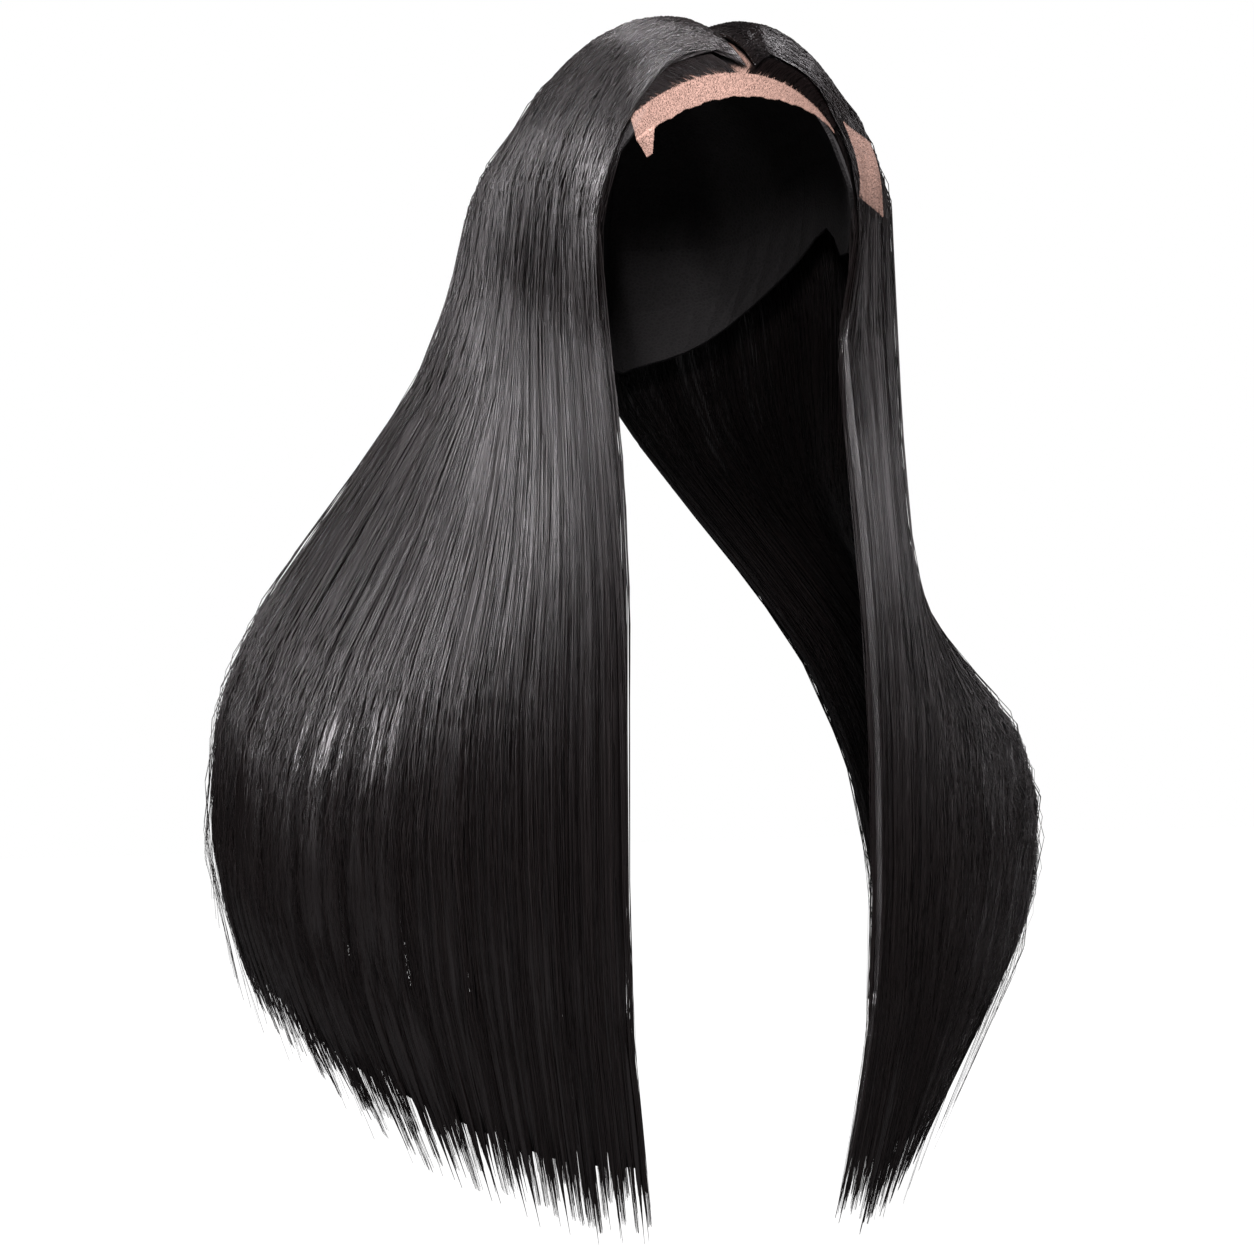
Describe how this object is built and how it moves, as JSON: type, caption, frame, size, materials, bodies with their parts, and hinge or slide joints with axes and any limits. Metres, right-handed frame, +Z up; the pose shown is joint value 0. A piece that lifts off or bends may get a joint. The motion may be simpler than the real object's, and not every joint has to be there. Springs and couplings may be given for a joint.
{
  "type": "long straight lace closure wig",
  "caption": "Long straight black wig with a centre parting, a lace closure at the front and a stretch net cap.",
  "frame": {"origin": "crown of the head, on the inside of the cap", "axes": "+Z up through the crown, -Y the way the face looks, +X the wearer's left"},
  "size_m": [0.4171, 0.1916, 0.5492],
  "materials": {
    "hair": "glossy black hair strands",
    "cap_net": "matt black stretch net",
    "lace": "sheer skin-toned lace"
  },
  "bodies": {
    "root": {"cap_left_side": "cap_net", "cap_left_back": "cap_net", "cap_right_back": "cap_net", "cap_right_side": "cap_net", "lace_closure": "lace", "lace_tab_right": "lace", "lace_tab_left": "lace", "right_lock_01": "hair", "right_lock_02": "hair", "right_lock_03": "hair", "right_lock_04": "hair", "right_lock_05": "hair", "right_lock_06": "hair", "right_lock_07": "hair", "right_lock_08": "hair", "right_lock_09": "hair", "right_lock_10": "hair", "right_lock_11": "hair", "right_lock_12": "hair", "right_lock_13": "hair", "right_lock_14": "hair", "left_lock_01": "hair", "left_lock_02": "hair", "left_lock_03": "hair", "left_lock_04": "hair", "left_lock_05": "hair", "left_lock_06": "hair", "left_lock_07": "hair", "left_lock_08": "hair", "left_lock_09": "hair", "left_lock_10": "hair", "left_lock_11": "hair", "left_lock_12": "hair", "left_lock_13": "hair", "left_lock_14": "hair"}
  },
  "joints": []
}
